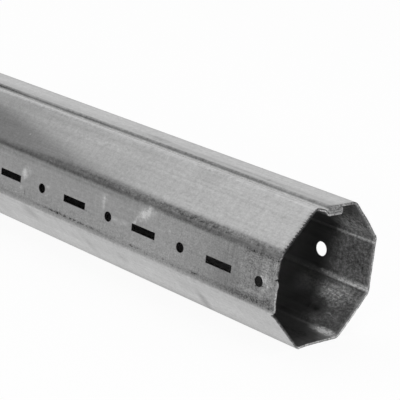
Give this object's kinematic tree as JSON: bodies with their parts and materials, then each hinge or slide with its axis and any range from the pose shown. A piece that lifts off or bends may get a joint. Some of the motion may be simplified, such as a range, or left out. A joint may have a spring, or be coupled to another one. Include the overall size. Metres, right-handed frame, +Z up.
{
  "type": "octagonal steel roller tube",
  "caption": "Octagonal sheet-steel roller tube with a folded lock seam on one flat and a punched row of round holes and slots on another.",
  "frame": {"origin": "middle of the bottom flat, which the tube lies on, half-way along the tube", "axes": "+X along the tube towards the end with the plug screw hole, +Y towards the back flat with that hole, so the punched row faces -Y, and +Z up towards the seam"},
  "size_m": [0.434, 0.06, 0.06],
  "materials": {
    "galvanised_steel": "matt galvanised strip with faint rolling lines, handling marks and a dark rubbed band along one bend"
  },
  "bodies": {
    "root": {"octagonal_tube": "galvanised_steel"}
  },
  "joints": []
}
